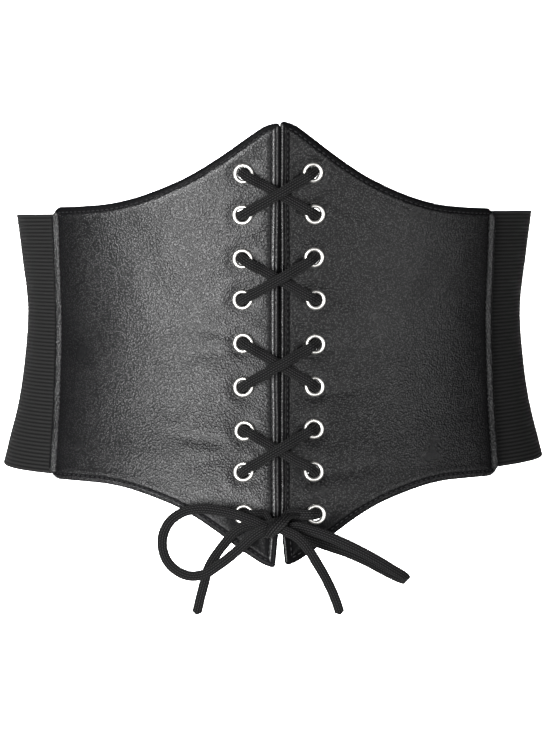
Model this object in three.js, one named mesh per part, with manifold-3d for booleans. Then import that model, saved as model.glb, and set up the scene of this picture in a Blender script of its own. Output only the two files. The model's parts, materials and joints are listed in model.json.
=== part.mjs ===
// An under-bust corset belt: two shaped leather panels with eyelets, laced together at the front and
// tied in a bow, and a ribbed elastic band that runs round the back. It is shown in its worn form.
// Millimetres, +Z up. The front faces -Y and +X is the viewer's right. The origin is the middle of the
// waist at its narrowest height.
import * as THREE from 'three';
import { mergeVertices } from 'three/addons/utils/BufferGeometryUtils.js';
import Module from 'manifold-3d';

// The worn figure, measured to the outside of the elastic at the waist
const WAIST_HALF_WIDTH = 123;
const FRONT_DEPTH = 90.6;
const BACK_DEPTH = 80;

// Heights from the waist
const FRONT_PEAK = 88.4;
const FRONT_POINT = 114;
const PANEL_SIDE_TOP = 49.8;
const PANEL_SIDE_BOTTOM = 77.7;
const ELASTIC_TOP = 47.8;
const ELASTIC_BOTTOM = 75;

// The belt sits a little askew: the left panel is longer than the right one by twice this much, and
// the elastic's edges rise towards the right
const PANEL_UNEVEN = 0.6;
// The right panel's top edge lies a little higher all along
const RIGHT_RAISED = 0.7;
const ELASTIC_TOP_TILT = 1;
const ELASTIC_BOTTOM_TILT = 1.85;

// Panels: how far the side seam of each lies from the middle, and the open front
const REACH_LEFT = 106.4;
const REACH_RIGHT = 103.2;
const FRONT_GAP = 2.1;
const LEATHER = 2.2;
const ELASTIC = 1.4;
const SEWN_UNDER = 9;
const CLEARANCE = 0.4;

// Eyelets: the first and the last row are measured from the panels' peak and point
const ROWS = 9;
const FIRST_ROW_DOWN = 22.4;
const LAST_ROW_UP = 23.2;
const COLUMN_FROM_MIDDLE = 16.5;
// How far each eyelet was set off its even place by hand, aside and up, from the first row down
const HAND_SET = {
  left: [
    [-0.2, -0.5], [-0.6, 0.2], [-0.6, -0.3], [-0.6, 0.3], [-0.3, -0.1],
    [-0.3, -0.7], [0.2, -1.1], [-0.3, -0.2], [-0.1, 0],
  ],
  right: [
    [-1.3, 0], [-0.3, 0.5], [-0.6, 0.3], [0.3, 0.2], [0.1, -0.6],
    [-0.3, -0.5], [-0.7, -0.3], [-0.9, -0.1], [0, 0],
  ],
};
const EYELET_RADIUS = 4.75;
const EYELET_HOLE = 2.85;
const BARREL_WALL = 0.35;
const RIM_HEIGHT = 1.1;
const WASHER = 0.7;
const EYELET_SIDES = 10;

// Lace
const LACE_WIDTH = 4.7;
const LACE_THICK = 2.6;
const LACE_SIDES = 8;

// Knot of the bow
const KNOT_LENGTH = 9.2;
const KNOT_RADIUS = 4.8;
const KNOT_DROP = 4.6;
const KNOT_ASIDE = 2;

// The figure's sections. level: share of FRONT_PEAK above the waist, or of FRONT_POINT below it.
// girth: share of WAIST_HALF_WIDTH and FRONT_DEPTH. back: share of BACK_DEPTH. gap: share of FRONT_GAP.
const FIGURE = [
  { level: -1, girth: 1.137, back: 1.24, gap: 1 },
  { level: -0.89, girth: 1.128, back: 1.222, gap: 0.4 },
  { level: -0.81, girth: 1.12, back: 1.209, gap: 0.14 },
  { level: -0.7, girth: 1.107, back: 1.19, gap: 0.12 },
  { level: -0.6, girth: 1.085, back: 1.155, gap: 0.12 },
  { level: -0.4, girth: 1.039, back: 1.075, gap: 0.12 },
  { level: -0.2, girth: 1.012, back: 1.02, gap: 0.12 },
  { level: 0, girth: 1, back: 1, gap: 0.12 },
  { level: 0.3, girth: 1.022, back: 1.04, gap: 0.12 },
  { level: 0.55, girth: 1.044, back: 1.08, gap: 0.12 },
  { level: 1, girth: 1.087, back: 1.13, gap: 0.12 },
];

// A panel's edges. reach: share of the way from the front edge to the side seam. rise and drop: share
// of the height that the edge gains from the side seam to the front peak and the front point.
const EDGES = [
  { reach: 0, rise: 0.997, drop: 1.01 },
  { reach: 0.015, rise: 1.002, drop: 1.015 },
  { reach: 0.03, rise: 0.993, drop: 1 },
  { reach: 0.06, rise: 0.958, drop: 0.955 },
  { reach: 0.09, rise: 0.8955, drop: 0.893 },
  { reach: 0.147, rise: 0.766, drop: 0.771 },
  { reach: 0.207, rise: 0.63, drop: 0.627 },
  { reach: 0.27, rise: 0.5, drop: 0.489 },
  { reach: 0.333, rise: 0.383, drop: 0.364 },
  { reach: 0.4, rise: 0.285, drop: 0.254 },
  { reach: 0.467, rise: 0.2015, drop: 0.1725 },
  { reach: 0.537, rise: 0.13, drop: 0.1025 },
  { reach: 0.61, rise: 0.0745, drop: 0.047 },
  { reach: 0.69, rise: 0.035, drop: 0.013 },
  { reach: 0.775, rise: 0.016, drop: 0.003 },
  { reach: 0.865, rise: 0.004, drop: 0 },
  { reach: 0.97, rise: 0, drop: 0 },
  { reach: 1, rise: -0.06, drop: -0.06 },
];

// The bow's free strands, point by point from the knot, each [x, y, z]
const BOW = {
  bow_loop_left: [
    [-8.1, -109.3, -95], [-11.7, -109.5, -93.2], [-16.7, -109.8, -91.3], [-22.2, -108.7, -89.6],
    [-28.6, -107.3, -88.4], [-36.8, -105.4, -87.8], [-44.6, -103.6, -89.6], [-50.6, -102.2, -94],
    [-53.8, -101.8, -100.3], [-54, -102.3, -106.7], [-51.6, -103.4, -112.7], [-46.7, -104.8, -117],
    [-40.6, -106.2, -118.8], [-34.4, -107.6, -117.5], [-29.1, -108.9, -114], [-23.6, -110, -109.7],
    [-18.1, -111.1, -104.9], [-12.9, -112, -100], [-8.2, -112.4, -96.8],
  ],
  bow_tail_left: [
    [-7.7, -106.1, -96.7], [-12.1, -106.7, -95.3], [-16.7, -106.6, -95.9], [-20.9, -105.9, -98.5],
    [-24.6, -105.1, -102.8], [-28.1, -104.7, -107.3], [-31.2, -104.5, -111.8], [-33.5, -104.3, -116.7],
    [-34.9, -104.3, -122.3], [-36.5, -104, -128.3], [-37.6, -103.8, -133], [-38.6, -103.6, -137],
  ],
  bow_loop_right: [
    [3.5, -109.5, -96.3], [7, -110.6, -95.7], [12.5, -111.9, -96.8], [19.3, -112.7, -98.8],
    [28.4, -113.1, -102.6], [37.1, -112.8, -106.9], [45.4, -111.5, -111.6], [51.6, -109.5, -115.6],
    [55.9, -105.7, -119.3], [56.7, -101.9, -121], [53.9, -100.5, -120.4], [48, -101.2, -117.3],
    [39.6, -103.2, -112.5], [31.6, -104.4, -108.7], [23.3, -105.5, -105.7], [15.4, -106.2, -102.9],
    [9, -106.5, -100.5], [3.5, -106.6, -98.3],
  ],
  bow_tail_right: [
    [3, -113.6, -97.6], [6.4, -115.6, -98.9], [10, -117.1, -101.9], [13.4, -117.6, -106.4],
    [16.9, -116.7, -112.3], [20.2, -115, -118.1], [23.2, -113.1, -124.4], [25.5, -112.1, -130.1],
    [26.6, -111.5, -133.4], [27.3, -111.2, -136],
  ],
};

const OUTWARD = new THREE.Vector3(0, -1, 0);

const LEATHER_FACE = CLEARANCE + LEATHER;
const ROW_PITCH = (FRONT_PEAK + FRONT_POINT - FIRST_ROW_DOWN - LAST_ROW_UP) / (ROWS - 1);
const TOP_ROW = FRONT_PEAK - FIRST_ROW_DOWN;

// The panel's steps crowd towards its two ends, where its edges turn most
const CROWDING = 0.5;
const PANEL_STEPS = { across: 18, up: 10 };
const BAND_STEPS = { across: 50, up: 8 };

const leatherBlack = new THREE.MeshStandardMaterial({ color: 0x1b1b1d, roughness: 0.42, metalness: 0 });
const elasticBlack = new THREE.MeshStandardMaterial({ color: 0x151516, roughness: 0.9, metalness: 0 });
const laceBlack = new THREE.MeshStandardMaterial({ color: 0x0e0e0f, roughness: 0.85, metalness: 0 });
const nickel = new THREE.MeshStandardMaterial({ color: 0xd8dadc, roughness: 0.2, metalness: 1 });

// A smooth curve through one column of a table
function column(table, along, name) {
  const places = table.map((row) => row[along]);
  const values = table.map((row) => row[name]);
  const curve = new THREE.CubicInterpolant(places, values, 1);
  return (place) => curve.evaluate(THREE.MathUtils.clamp(place, places[0], places.at(-1)))[0];
}

const girthAt = column(FIGURE, 'level', 'girth');
const backAt = column(FIGURE, 'level', 'back');
const gapAt = column(FIGURE, 'level', 'gap');
const riseAt = column(EDGES, 'reach', 'rise');
const dropAt = column(EDGES, 'reach', 'drop');

function levelOf(z) {
  return z > 0 ? z / FRONT_PEAK : z / FRONT_POINT;
}

// A point on the figure grown by a distance: the angle runs from the front middle towards +X
function onFigure(angle, z, grown) {
  const girth = girthAt(levelOf(z));
  const width = WAIST_HALF_WIDTH * girth + grown;
  const front = FRONT_DEPTH * girth + grown;
  const back = BACK_DEPTH * backAt(levelOf(z)) + grown;
  const depth = Math.cos(angle) > 0 ? front : back;
  return new THREE.Vector3(width * Math.sin(angle), -depth * Math.cos(angle), z);
}

function angleAt(x, z, grown) {
  return Math.asin(x / (WAIST_HALF_WIDTH * girthAt(levelOf(z)) + grown));
}

// The side seam leans out a little where the figure is wider
function seamAngle(reach, z) {
  const lean = 1 + 0.25 * (girthAt(levelOf(z)) - 1);
  return angleAt(reach * lean, z, LEATHER_FACE);
}

function frontEdgeAngle(z) {
  return angleAt(FRONT_GAP * gapAt(levelOf(z)), z, LEATHER_FACE);
}

// A wall: a box whose width, height and thickness are bent by the function that it is given
function wall(steps, bend) {
  const geometry = new THREE.BoxGeometry(1, 1, 1, steps.across, steps.up, 1);
  const position = geometry.attributes.position;
  for (let i = 0; i < position.count; i++) {
    const across = position.getX(i) + 0.5;
    const up = position.getY(i) + 0.5;
    const out = position.getZ(i) + 0.5;
    position.setXYZ(i, ...bend(across, up, out).toArray());
  }
  return geometry;
}

// side is -1 for the viewer's left panel and 1 for the right one
function panelWall(side, reachOfSeam) {
  const longer = -side * PANEL_UNEVEN;
  return wall(PANEL_STEPS, (across, up, out) => {
    const share = side > 0 ? across : 1 - across;
    const reach = share - CROWDING * Math.sin(2 * Math.PI * share) / (2 * Math.PI);
    const raised = side > 0 ? RIGHT_RAISED : 0;
    const top = THREE.MathUtils.lerp(PANEL_SIDE_TOP + longer, FRONT_PEAK, riseAt(reach)) + raised;
    const bottom = THREE.MathUtils.lerp(PANEL_SIDE_BOTTOM, FRONT_POINT, dropAt(reach)) + longer;
    const z = THREE.MathUtils.lerp(-bottom, top, up);
    const angle = THREE.MathUtils.lerp(frontEdgeAngle(z), seamAngle(reachOfSeam, z), reach);
    return onFigure(side * angle, z, CLEARANCE + out * LEATHER);
  });
}

function elasticWall() {
  return wall(BAND_STEPS, (across, up, out) => {
    const level = THREE.MathUtils.lerp(-ELASTIC_BOTTOM, ELASTIC_TOP, up);
    const start = seamAngle(REACH_RIGHT - SEWN_UNDER, level);
    const end = 2 * Math.PI - seamAngle(REACH_LEFT - SEWN_UNDER, level);
    const angle = THREE.MathUtils.lerp(start, end, across);
    const tilt = THREE.MathUtils.lerp(ELASTIC_BOTTOM_TILT, ELASTIC_TOP_TILT, up);
    const z = level + tilt * Math.sin(angle);
    return onFigure(angle, z, (out - 1) * ELASTIC);
  });
}

// A point of the leather's face and the direction out of it
function onLeather(x, z) {
  const point = onFigure(angleAt(x, z, LEATHER_FACE), z, LEATHER_FACE);
  const beside = onFigure(angleAt(x + 1, z, LEATHER_FACE), z, LEATHER_FACE).sub(point);
  const above = onFigure(angleAt(x, z + 1, LEATHER_FACE), z + 1, LEATHER_FACE).sub(point);
  return { point, normal: beside.cross(above).normalize() };
}

function eyeletSeat(side, row) {
  const [aside, above] = HAND_SET[side < 0 ? 'left' : 'right'][row - 1];
  return onLeather(side * COLUMN_FROM_MIDDLE + aside, TOP_ROW - (row - 1) * ROW_PITCH + above);
}

// Turns a geometry made along +Y to stand on a seat, its +Y out of the leather
function standOn(geometry, seat) {
  const turn = new THREE.Quaternion().setFromUnitVectors(new THREE.Vector3(0, 1, 0), seat.normal);
  return geometry.applyQuaternion(turn).translate(...seat.point.toArray());
}

// The eyelet's section, turned about its hole: a barrel with a rolled rim in front and a washer behind
const BARREL = EYELET_HOLE + BARREL_WALL;
const WASHER_TOP = -LEATHER - CLEARANCE;
const WASHER_BOTTOM = WASHER_TOP - WASHER;

function eyeletGeometry() {
  const rimTop = CLEARANCE + RIM_HEIGHT;
  const crown = (EYELET_HOLE + EYELET_RADIUS) / 2;
  const profile = [
    [EYELET_HOLE, WASHER_BOTTOM],
    [EYELET_RADIUS - BARREL_WALL, WASHER_BOTTOM],
    [EYELET_RADIUS - BARREL_WALL, WASHER_TOP],
    [BARREL, WASHER_TOP],
    [BARREL, CLEARANCE],
    [EYELET_RADIUS, CLEARANCE],
    [crown + RIM_HEIGHT / 2, rimTop * 0.85],
    [crown - RIM_HEIGHT / 4, rimTop],
    [EYELET_HOLE, rimTop * 0.7],
    [EYELET_HOLE, WASHER_BOTTOM],
  ];
  return new THREE.LatheGeometry(profile.map(([r, h]) => new THREE.Vector2(r, h)), EYELET_SIDES);
}

// Lace: a smooth path whose stations also hold the direction of the lace's width
class LacePath extends THREE.CatmullRomCurve3 {
  constructor(stations) {
    super(stations.map((station) => station.point), false, 'centripetal');
    this.across = stations.map((station) => station.across);
  }

  getSpacedPoints(steps) {
    return this.getPoints(steps);
  }

  computeFrenetFrames(steps) {
    const frames = { tangents: [], normals: [], binormals: [] };
    const last = this.across.length - 1;
    for (let i = 0; i <= steps; i++) {
      const place = (i / steps) * last;
      const before = Math.min(Math.floor(place), last - 1);
      const tangent = this.getTangent(i / steps);
      const width = this.across[before].clone().lerp(this.across[before + 1], place - before);
      width.addScaledVector(tangent, -width.dot(tangent)).normalize();
      frames.tangents.push(tangent);
      frames.normals.push(width);
      frames.binormals.push(tangent.clone().cross(width));
    }
    return frames;
  }
}

// The lace's section: flat and rounded at both edges
function laceSection() {
  const section = new THREE.Shape();
  for (let i = 0; i < LACE_SIDES; i++) {
    const turn = (i / LACE_SIDES) * 2 * Math.PI;
    const x = (Math.cos(turn) * LACE_WIDTH) / 2;
    const y = (Math.sin(turn) * LACE_THICK) / 2;
    if (i === 0) section.moveTo(x, y);
    else section.lineTo(x, y);
  }
  section.closePath();
  return section;
}

function laceGeometry(stations) {
  const extrudePath = new LacePath(stations);
  return new THREE.ExtrudeGeometry(laceSection(), { steps: stations.length - 1, extrudePath });
}

// Every station's width is turned to the side of the one before it, so that the lace never flips over
function keepTurn(stations) {
  for (let i = 1; i < stations.length; i++) {
    if (stations[i].across.dot(stations[i - 1].across) < 0) stations[i].across.negate();
  }
  return stations;
}

// Heights of the lace's middle over the leather's face
const HALF_LACE = LACE_THICK / 2;
const OVER_LEATHER = CLEARANCE + HALF_LACE;
const OVER_RIM = 2 * CLEARANCE + RIM_HEIGHT + HALF_LACE;
const OVER_LACE = OVER_LEATHER + LACE_THICK + CLEARANCE;
const BEHIND = WASHER_BOTTOM - CLEARANCE - HALF_LACE;

// The bend of the lace from inside an eyelet to over its rim: out is a share of the eyelet's radius
const BEND = [
  { out: 0.13, height: 0.62 },
  { out: 0.5, height: 1.13 },
  { out: 1.15, height: 1.08 },
];

// Stations from an eyelet's hole towards another place, in front of the leather or behind it
function bendStations(seat, towards, restHeight) {
  const run = towards.clone().sub(seat.point);
  run.addScaledVector(seat.normal, -run.dot(seat.normal)).normalize();
  const across = seat.normal.clone().cross(run);
  return BEND.map((row) => {
    const point = seat.point.clone();
    point.addScaledVector(run, row.out * EYELET_RADIUS);
    point.addScaledVector(seat.normal, row.height * restHeight);
    return { point, across: across.clone() };
  });
}

// Through one eyelet, from one face of the leather to the other
function throughEyelet(seat, from, to, startsInFront) {
  const incoming = bendStations(seat, from, startsInFront ? OVER_RIM : BEHIND).reverse();
  const outgoing = bendStations(seat, to, startsInFront ? BEHIND : OVER_RIM);
  if (incoming[0].across.dot(outgoing[0].across) < 0) {
    outgoing.forEach((station) => station.across.negate());
  }
  const middle = {
    point: seat.point.clone().addScaledVector(seat.normal, -LEATHER / 2),
    across: incoming[0].across.clone().add(outgoing[0].across).normalize(),
  };
  return [...incoming, middle, ...outgoing];
}

// A stretch over the leather between two eyelets: share is how far along it each station lies
function crossing(start, end, upper) {
  const middleHeight = upper ? OVER_LACE : OVER_LEATHER;
  const shoulder = upper ? (OVER_RIM + OVER_LACE) / 2 : OVER_LEATHER;
  const rows = [
    { share: 0.26, height: shoulder },
    { share: 0.39, height: middleHeight },
    { share: 0.5, height: middleHeight },
    { share: 0.61, height: middleHeight },
    { share: 0.74, height: shoulder },
  ];
  const run = end.clone().sub(start);
  return rows.map((row) => {
    const at = start.clone().lerp(end, row.share);
    const face = onLeather(at.x, at.z);
    const point = face.point.addScaledVector(face.normal, row.height);
    return { point, across: face.normal.cross(run).normalize() };
  });
}

// The eyelets in the order in which the lace goes through them, up the front and down again
function laceOrder() {
  const up = [];
  const down = [];
  for (let row = ROWS; row >= 1; row--) {
    const side = Math.floor((ROWS - row) / 2) % 2 === 0 ? -1 : 1;
    up.push({ side, row });
    down.unshift({ side: -side, row });
  }
  return [...up, ...down];
}

// Where the lace's two ends reach the knot
const KNOT_ROW = TOP_ROW - (ROWS - 1) * ROW_PITCH;
const knotFace = onLeather(-KNOT_ASIDE, KNOT_ROW - KNOT_DROP);
const KNOT_CENTRE = knotFace.point.clone().addScaledVector(OUTWARD, CLEARANCE + KNOT_RADIUS);

function endAtKnot(side, height) {
  const x = side * (KNOT_LENGTH / 2 + 2 * CLEARANCE) - KNOT_ASIDE;
  const face = onLeather(x, KNOT_ROW);
  const point = face.point.addScaledVector(face.normal, height);
  return { point, across: new THREE.Vector3(0, 0, 1) };
}

function lacingStations() {
  const order = laceOrder();
  const seats = order.map(({ side, row }) => eyeletSeat(side, row));
  const leftEnd = endAtKnot(-1, OVER_LEATHER);
  const rightEnd = endAtKnot(1, OVER_LEATHER);
  const stations = [leftEnd];
  seats.forEach((seat, i) => {
    const startsInFront = i % 2 === 0;
    const from = i === 0 ? leftEnd.point : seats[i - 1].point;
    const to = i === seats.length - 1 ? rightEnd.point : seats[i + 1].point;
    stations.push(...throughEyelet(seat, from, to, startsInFront));
    const crosses = !startsInFront && i < seats.length - 1;
    if (crosses) {
      const [here, next] = [order[i], order[i + 1]];
      const leftRow = here.side < 0 ? here.row : next.row;
      const rightRow = here.side < 0 ? next.row : here.row;
      stations.push(...crossing(seat.point, seats[i + 1].point, leftRow > rightRow));
    }
  });
  stations.push(rightEnd);
  return keepTurn(stations);
}

// A free strand keeps its width along the leather, and through a tight turn keeps the width it had
function bowStations(points) {
  const places = points.map((point) => new THREE.Vector3(...point));
  const stations = places.map((point, i) => {
    const before = places[Math.max(i - 1, 0)];
    const after = places[Math.min(i + 1, places.length - 1)];
    const run = after.clone().sub(before).normalize();
    return { point, across: OUTWARD.clone().cross(run) };
  });
  return keepTurn(stations);
}

// The knot: a barrel along X, fuller in its middle
function knotGeometry() {
  const half = KNOT_LENGTH / 2;
  const profile = [
    [0, -half],
    [KNOT_RADIUS * 0.8, -half],
    [KNOT_RADIUS * 0.95, -half * 0.6],
    [KNOT_RADIUS, 0],
    [KNOT_RADIUS * 0.95, half * 0.6],
    [KNOT_RADIUS * 0.8, half],
    [0, half],
  ];
  const barrel = new THREE.LatheGeometry(profile.map(([r, h]) => new THREE.Vector2(r, h)), 14);
  return barrel.rotateZ(-Math.PI / 2).translate(...KNOT_CENTRE.toArray());
}

// Solids for cutting
const manifold = await Module();
manifold.setup();

function solidOf(geometry) {
  const bare = geometry.clone();
  bare.deleteAttribute('normal');
  bare.deleteAttribute('uv');
  const merged = mergeVertices(bare, 1e-3);
  return new manifold.Manifold(new manifold.Mesh({
    numProp: 3,
    vertProperties: new Float32Array(merged.attributes.position.array),
    triVerts: new Uint32Array(merged.index.array),
  }));
}

function geometryOf(solid) {
  const mesh = solid.getMesh();
  const geometry = new THREE.BufferGeometry();
  geometry.setAttribute('position', new THREE.BufferAttribute(mesh.vertProperties, 3));
  geometry.setIndex(new THREE.BufferAttribute(mesh.triVerts, 1));
  geometry.computeVertexNormals();
  return geometry;
}

// A panel with a hole for each eyelet's barrel
function panelGeometry(side, reachOfSeam) {
  let panel = solidOf(panelWall(side, reachOfSeam));
  const holeRadius = BARREL + CLEARANCE;
  for (let row = 1; row <= ROWS; row++) {
    const punch = new THREE.CylinderGeometry(holeRadius, holeRadius, 4 * LEATHER, EYELET_SIDES);
    panel = panel.subtract(solidOf(standOn(punch, eyeletSeat(side, row))));
  }
  return geometryOf(panel);
}

const group = new THREE.Group();

function add(name, geometry, material) {
  const mesh = new THREE.Mesh(geometry, material);
  mesh.name = name;
  group.add(mesh);
}

add('panel_left', panelGeometry(-1, REACH_LEFT), leatherBlack);
add('panel_right', panelGeometry(1, REACH_RIGHT), leatherBlack);
add('elastic_band', elasticWall(), elasticBlack);
for (const [side, name] of [[-1, 'left'], [1, 'right']]) {
  for (let row = 1; row <= ROWS; row++) {
    add(`eyelet_${name}_${row}`, standOn(eyeletGeometry(), eyeletSeat(side, row)), nickel);
  }
}
add('lacing', laceGeometry(lacingStations()), laceBlack);
add('bow_knot', knotGeometry(), laceBlack);
for (const [name, points] of Object.entries(BOW)) {
  add(name, laceGeometry(bowStations(points)), laceBlack);
}

export default group;
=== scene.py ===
# %% [markdown]
# # Dressing a laced corset belt
#
# The belt is two black leather panels with nickel eyelets, one long lace tied in a bow, and a ribbed
# elastic band that closes the back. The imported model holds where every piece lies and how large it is.
# This notebook gives each piece its fine shape and its finish. Lengths are in metres, so a size is
# written in millimetres times MM.

# %% Load the frame
import json
import math

import bpy
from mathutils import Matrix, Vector, noise

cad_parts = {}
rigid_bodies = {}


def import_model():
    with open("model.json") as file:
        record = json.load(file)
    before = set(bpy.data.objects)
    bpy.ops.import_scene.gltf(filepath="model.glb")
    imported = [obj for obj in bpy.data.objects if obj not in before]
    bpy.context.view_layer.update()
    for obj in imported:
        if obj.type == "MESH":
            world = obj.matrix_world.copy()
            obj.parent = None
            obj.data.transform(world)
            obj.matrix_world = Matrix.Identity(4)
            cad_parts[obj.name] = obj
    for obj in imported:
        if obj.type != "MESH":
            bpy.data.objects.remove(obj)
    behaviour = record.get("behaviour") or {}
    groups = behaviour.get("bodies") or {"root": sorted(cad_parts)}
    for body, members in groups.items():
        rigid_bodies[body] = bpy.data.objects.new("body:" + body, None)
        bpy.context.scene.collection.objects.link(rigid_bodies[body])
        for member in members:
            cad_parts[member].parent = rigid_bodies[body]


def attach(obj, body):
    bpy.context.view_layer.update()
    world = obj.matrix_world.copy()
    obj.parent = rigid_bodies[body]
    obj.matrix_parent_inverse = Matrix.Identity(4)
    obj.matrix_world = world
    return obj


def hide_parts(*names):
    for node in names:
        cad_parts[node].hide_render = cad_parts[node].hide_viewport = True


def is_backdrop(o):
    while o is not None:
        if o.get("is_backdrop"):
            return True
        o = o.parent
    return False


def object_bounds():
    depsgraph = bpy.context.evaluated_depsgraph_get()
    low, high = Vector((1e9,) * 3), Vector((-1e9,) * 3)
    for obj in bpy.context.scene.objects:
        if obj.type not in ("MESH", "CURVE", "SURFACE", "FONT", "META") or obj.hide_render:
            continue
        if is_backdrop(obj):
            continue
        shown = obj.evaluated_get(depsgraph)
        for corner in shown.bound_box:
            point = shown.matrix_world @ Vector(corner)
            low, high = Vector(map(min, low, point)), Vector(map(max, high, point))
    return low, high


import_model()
MM = 0.001
cad_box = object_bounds()

# %% [markdown]
# ## Camera
#
# A product picture of a belt is taken from a little way off with a long lens, so that the sides don't
# swell. The camera stands above the waist and looks slightly down. Its angle of view comes from the
# picture's width and the focal length, both in pixels.

# %% Camera
PICTURE_WIDTH = 550
FOCAL_LENGTH = 2400
SENSOR = 36
CAMERA_DISTANCE = 1200 * MM
CAMERA_HEIGHT = 47.5 * MM
CAMERA_ASIDE = 0.35 * MM
CAMERA_SWING = math.radians(-1.5)
CAMERA_TILT = math.radians(3.66)

camera_data = bpy.data.cameras.new("picture_camera")
camera_data.sensor_fit = "HORIZONTAL"
camera_data.sensor_width = SENSOR
camera_data.lens = SENSOR * FOCAL_LENGTH / PICTURE_WIDTH
camera = bpy.data.objects.new("picture_camera", camera_data)
bpy.context.scene.collection.objects.link(camera)
camera.location = (
    CAMERA_ASIDE + CAMERA_DISTANCE * math.sin(CAMERA_SWING),
    -CAMERA_DISTANCE * math.cos(CAMERA_SWING),
    CAMERA_HEIGHT,
)
aim = Vector((CAMERA_ASIDE, 0, CAMERA_HEIGHT - CAMERA_DISTANCE * math.tan(CAMERA_TILT)))
camera.rotation_euler = (aim - camera.location).to_track_quat("-Z", "Y").to_euler()
bpy.context.scene.camera = camera
print("lens", round(camera_data.lens, 1), "mm")

# %% [markdown]
# ## The worn figure
#
# Cloth that is worn has no shape of its own: it takes the figure's. So one function gives a point on the
# figure, and the leather, the elastic, the eyelets and the lace are all placed with it. The figure is a
# stack of ovals, wide at the hips and narrow at the waist. A table gives each oval as a share of the
# waist, and a smooth curve runs through every column of it.

# %% Sizes of the figure and its table
WAIST_HALF_WIDTH = 123 * MM
FRONT_DEPTH = 90.6 * MM
BACK_DEPTH = 80 * MM
FRONT_PEAK = 88.4 * MM
FRONT_POINT = 114 * MM
FRONT_GAP = 2.1 * MM


def table(names, *rows):
    """Rows of numbers under named columns."""
    return [dict(zip(names.split(), row)) for row in rows]


FIGURE = table(
    "level girth back gap",
    (-1, 1.137, 1.24, 1),
    (-0.89, 1.128, 1.222, 0.45),
    (-0.81, 1.12, 1.209, 0),
    (-0.7, 1.107, 1.19, 0),
    (-0.6, 1.085, 1.155, 0),
    (-0.4, 1.039, 1.075, 0),
    (-0.2, 1.012, 1.02, 0.12),
    (0, 1, 1, 0.12),
    (0.3, 1.022, 1.04, 0.12),
    (0.55, 1.044, 1.08, 0),
    (1, 1.087, 1.13, 0),
)


def mix(low, high, share):
    return low + (high - low) * share


def clamp(value, low, high):
    return min(max(value, low), high)


def bell(distance, width):
    return math.exp(-((distance / width) ** 2))


def column(table, along, name):
    """A smooth curve through one column of a table."""
    places = [row[along] for row in table]
    values = [row[name] for row in table]
    last = len(places) - 1

    def value_at(place):
        place = clamp(place, places[0], places[last])
        i = 1
        while i < last and place >= places[i]:
            i += 1
        width = places[i] - places[i - 1]
        before, after = (i - 2, i + 1)
        weight_before = width / 2 / (places[i - 1] - places[before]) if i > 1 else -0.5
        weight_after = width / 2 / (places[after] - places[i]) if i < last else -0.5
        value_before = values[before] if i > 1 else values[i]
        value_after = values[after] if i < last else values[i - 1]
        t = (place - places[i - 1]) / width
        return (
            value_before * weight_before * (-t**3 + 2 * t**2 - t)
            + values[i - 1] * ((1 + weight_before) * t**3 - (1.5 + 2 * weight_before) * t**2
                               + (weight_before - 0.5) * t + 1)
            + values[i] * (-(1 + weight_after) * t**3 + (1.5 + weight_after) * t**2 + 0.5 * t)
            + value_after * weight_after * (t**3 - t**2)
        )

    return value_at


girth_at = column(FIGURE, "level", "girth")
back_at = column(FIGURE, "level", "back")
gap_at = column(FIGURE, "level", "gap")

# %% A point on the figure
def level_of(z):
    return z / FRONT_PEAK if z > 0 else z / FRONT_POINT


def on_figure(angle, z, grown):
    """A point on the figure grown by a distance. The angle runs from the front middle towards +X."""
    girth = girth_at(level_of(z))
    width = WAIST_HALF_WIDTH * girth + grown
    front = FRONT_DEPTH * girth + grown
    back = BACK_DEPTH * back_at(level_of(z)) + grown
    depth = front if math.cos(angle) > 0 else back
    return Vector((width * math.sin(angle), -depth * math.cos(angle), z))


def angle_at(x, z, grown):
    return math.asin(x / (WAIST_HALF_WIDTH * girth_at(level_of(z)) + grown))


def out_of_figure(angle, z, grown):
    """The direction out of the figure."""
    step = 0.5 * MM
    here = on_figure(angle, z, grown)
    beside = on_figure(angle + step / WAIST_HALF_WIDTH, z, grown) - here
    above = on_figure(angle, z + step, grown) - here
    return beside.cross(above).normalized()


print("waist point", [round(value / MM, 1) for value in on_figure(0, 0, 0)], "mm")

# %% [markdown]
# ## The lace's route
#
# A lace passes through each eyelet from one face of the leather to the other. It crosses in front and
# runs straight up behind. Its stations are worked out from the eyelets' places: three to bend over a
# rim, one in the hole, five on each crossing. Every station also says which way the flat lace is wide.
# The eyelets are set by hand, so a table moves each one a little off its even place, in millimetres.

# %% Sizes of the leather, the eyelets and the lace
LEATHER = 2.2 * MM
CLEARANCE = 0.4 * MM
LEATHER_FACE = CLEARANCE + LEATHER

ROWS = 9
FIRST_ROW_DOWN = 22.4 * MM
LAST_ROW_UP = 23.2 * MM
ROW_PITCH = (FRONT_PEAK + FRONT_POINT - FIRST_ROW_DOWN - LAST_ROW_UP) / (ROWS - 1)
TOP_ROW = FRONT_PEAK - FIRST_ROW_DOWN
COLUMN_FROM_MIDDLE = 16.5 * MM
HAND_SET = {
    -1: [(-0.2, -0.5), (-0.6, 0.2), (-0.6, -0.3), (-0.6, 0.3), (-0.3, -0.1),
         (-0.3, -0.7), (0.2, -1.1), (-0.3, -0.2), (-0.1, 0)],
    1: [(-1.3, 0), (-0.3, 0.5), (-0.6, 0.3), (0.3, 0.2), (0.1, -0.6),
        (-0.3, -0.5), (-0.7, -0.3), (-0.9, -0.1), (0, 0)],
}
EYELET_RADIUS = 4.75 * MM
EYELET_HOLE = 2.85 * MM
BARREL_WALL = 0.35 * MM
RIM_HEIGHT = 1.1 * MM
WASHER = 0.7 * MM

LACE_WIDTH = 4.7 * MM
LACE_THICK = 2.6 * MM

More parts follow.
